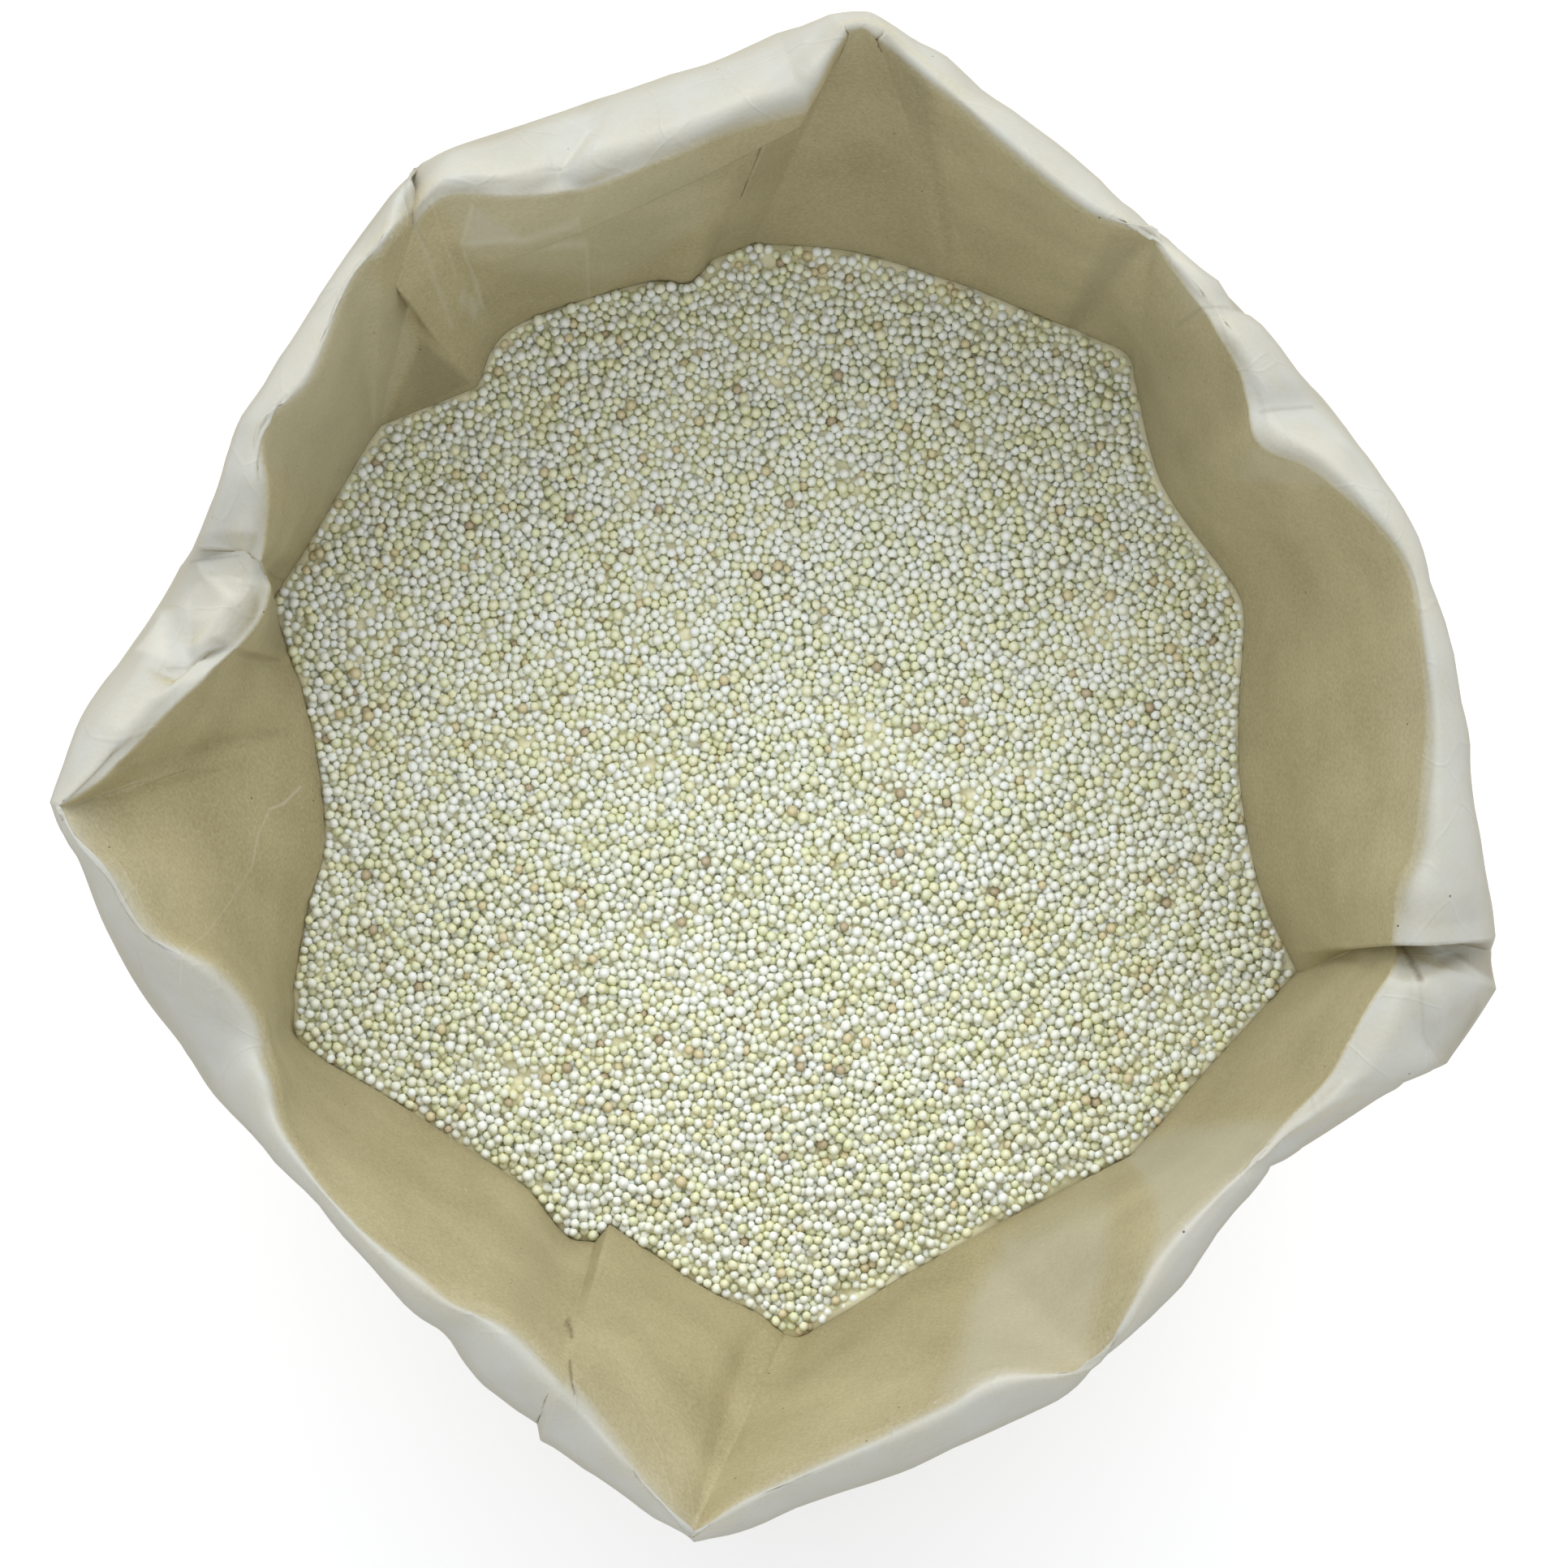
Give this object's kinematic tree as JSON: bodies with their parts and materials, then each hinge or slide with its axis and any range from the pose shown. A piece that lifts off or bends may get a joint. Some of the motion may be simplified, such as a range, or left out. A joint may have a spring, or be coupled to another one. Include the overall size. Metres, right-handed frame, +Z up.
{
  "type": "open kraft paper sack of white quinoa",
  "caption": "Open brown kraft paper sack with a crumpled turned-down mouth, filled with small round white quinoa seeds.",
  "frame": {"origin": "centre of the bounding box at the level of the sack's flat base", "axes": "+Z up out of the sack's mouth, +X to the right and +Y to the top of the picture taken from above"},
  "size_m": [0.261, 0.273, 0.2324],
  "materials": {
    "kraft_paper": "matte kraft paper with fine fibres, creased, slightly glossy and pale where it turns over at the rim",
    "quinoa_grain": null
  },
  "bodies": {
    "root": {"sack": "kraft_paper", "quinoa": "quinoa_grain"}
  },
  "joints": []
}
